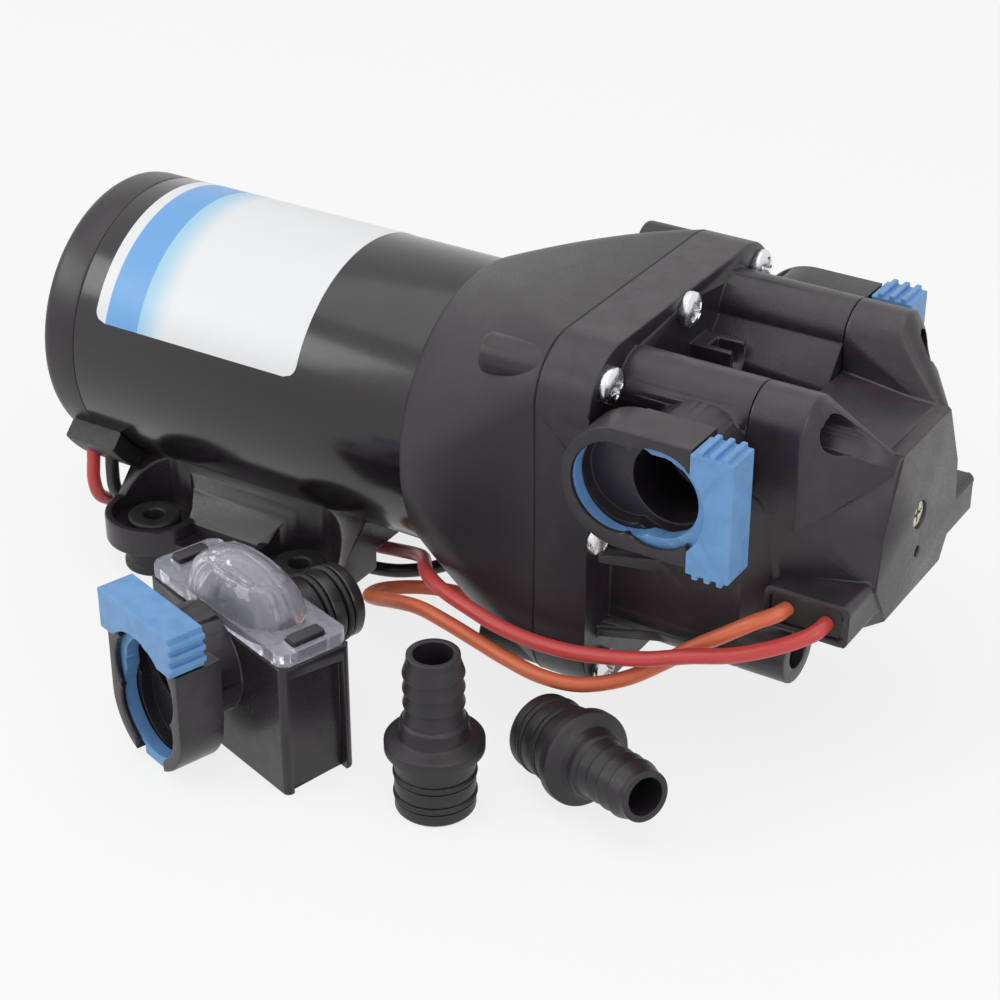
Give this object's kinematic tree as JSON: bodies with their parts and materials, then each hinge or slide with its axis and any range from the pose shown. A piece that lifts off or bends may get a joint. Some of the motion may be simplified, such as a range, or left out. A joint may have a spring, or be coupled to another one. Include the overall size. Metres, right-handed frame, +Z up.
{
  "type": "caravan water pump",
  "caption": "Electric diaphragm water pump with a round motor, square pump head, side ports locked by slide clips, a pressure switch, a clear-lid strainer and loose hose fittings.",
  "frame": {"origin": "centre of the four base holes, on the mounting plane under the rubber feet", "axes": "+X along the motor shaft towards the pump head, +Z up, the inlet port and the loose fittings on the -Y side"},
  "size_m": [0.213, 0.1576, 0.0938],
  "materials": {
    "can_paint": "gloss black paint",
    "black_plastic": "satin moulded black",
    "black_rubber": "matt rubber",
    "blue_plastic": "satin blue",
    "white_plastic": "natural acetal",
    "clear_plastic": "clear polycarbonate",
    "zinc_steel": "bright zinc",
    "steel": "ground steel",
    "cast_zinc": "die cast",
    "copper": "copper",
    "bronze": "sintered bronze",
    "ferrite": "dull ferrite",
    "card": "phenolic board",
    "carbon": "carbon",
    "red_lead": "soft wire skin",
    "orange_lead": "soft wire skin",
    "black_lead": "soft wire skin"
  },
  "bodies": {
    "pump_body": {"motor_can": "can_paint", "motor_rear_cap": "can_paint", "motor_front_plate": "cast_zinc", "field_magnets": "ferrite", "front_bearing_outer": "steel", "front_bearing_balls": "steel", "rear_bearing": "bronze", "brush_card": "card", "carbon_brushes": "carbon", "brush_springs": "steel", "lead_gland": "black_rubber", "motor_screws": "zinc_steel", "drive_housing": "black_plastic", "diaphragm": "black_rubber", "valve_housing": "white_plastic", "inlet_valves": "black_rubber", "outlet_valve": "black_rubber", "head_seal": "black_rubber", "pump_head": "black_plastic", "head_screws": "zinc_steel", "switch_membrane": "black_rubber", "switch_spring": "steel", "micro_switch": "card", "switch_cover": "black_plastic", "switch_screws": "zinc_steel", "wire_gland": "black_rubber", "base_bracket": "black_plastic", "rubber_feet": "black_rubber", "saddle_screws": "zinc_steel", "red_lead": "red_lead", "orange_lead": "orange_lead", "orange_lead_end": "copper", "black_lead": "black_lead", "black_lead_end": "copper"},
    "shaft": {"motor_shaft": "steel", "armature_core": "steel", "armature_winding": "copper", "commutator": "copper", "front_bearing_inner": "steel", "drive_cam": "cast_zinc", "cam_bearing_inner": "steel"},
    "wobbler": {"wobble_plate": "white_plastic", "cam_bearing_outer": "steel", "cam_bearing_balls": "steel", "piston_pads": "white_plastic", "piston_screws": "zinc_steel"},
    "inlet_clip_slider": {"inlet_clip": "blue_plastic"},
    "outlet_clip_slider": {"outlet_clip": "blue_plastic"},
    "plunger": {"switch_plunger": "white_plastic"},
    "adjuster": {"adjusting_screw": "zinc_steel"},
    "strainer": {"strainer_body": "black_plastic", "strainer_screen": "steel", "strainer_lid_seal": "black_rubber", "strainer_rings": "black_rubber"},
    "strainer_cover": {"strainer_lid": "clear_plastic"},
    "strainer_clip_slider": {"strainer_clip": "blue_plastic"},
    "standing_fitting": {"hose_fitting_a": "black_plastic", "fitting_a_rings": "black_rubber"},
    "lying_fitting": {"hose_fitting_b": "black_plastic", "fitting_b_rings": "black_rubber"}
  },
  "joints": [
    {"name": "shaft_spin", "type": "hinge", "parent": "pump_body", "child": "shaft", "pos_m": [0, 0, 0.052], "axis": [1, 0, 0], "continuous": true},
    {"name": "wobble", "type": "hinge", "parent": "shaft", "child": "wobbler", "pos_m": [0.095, 0, 0.052], "axis": [0.9986, 0, -0.0523], "continuous": true, "deforming": ["diaphragm"]},
    {"name": "inlet_clip_slide", "type": "slide", "parent": "pump_body", "child": "inlet_clip_slider", "axis": [1, 0, 0], "range_m": [0, 0.008]},
    {"name": "outlet_clip_slide", "type": "slide", "parent": "pump_body", "child": "outlet_clip_slider", "axis": [1, 0, 0], "range_m": [0, 0.008]},
    {"name": "plunger_travel", "type": "slide", "parent": "pump_body", "child": "plunger", "axis": [1, 0, 0], "range_m": [0, 0.0012], "stiffness_N_per_m": 200, "springref_m": -0.002, "deforming": ["switch_spring"]},
    {"name": "adjuster_turn", "type": "hinge", "parent": "pump_body", "child": "adjuster", "pos_m": [0.16, 0, 0.056], "axis": [1, 0, 0], "range_deg": [-360, 360]},
    {"name": "strainer_lift", "type": "slide", "parent": "pump_body", "child": "strainer", "axis": [0, 0, 1], "range_m": [0, 0.12]},
    {"name": "strainer_lid_lift", "type": "slide", "parent": "strainer", "child": "strainer_cover", "axis": [0, 0, 1], "range_m": [0, 0.05]},
    {"name": "strainer_clip_slide", "type": "slide", "parent": "strainer", "child": "strainer_clip_slider", "axis": [0, 0, 1], "range_m": [0, 0.008]},
    {"name": "standing_fitting_lift", "type": "slide", "parent": "pump_body", "child": "standing_fitting", "axis": [0, 0, 1], "range_m": [0, 0.12]},
    {"name": "lying_fitting_pull", "type": "slide", "parent": "pump_body", "child": "lying_fitting", "axis": [0.8951, -0.4173, 0.157], "range_m": [0, 0.08]}
  ],
  "couplings": [
    {"joint": "wobble", "follows": "shaft_spin", "ratio": -1}
  ]
}
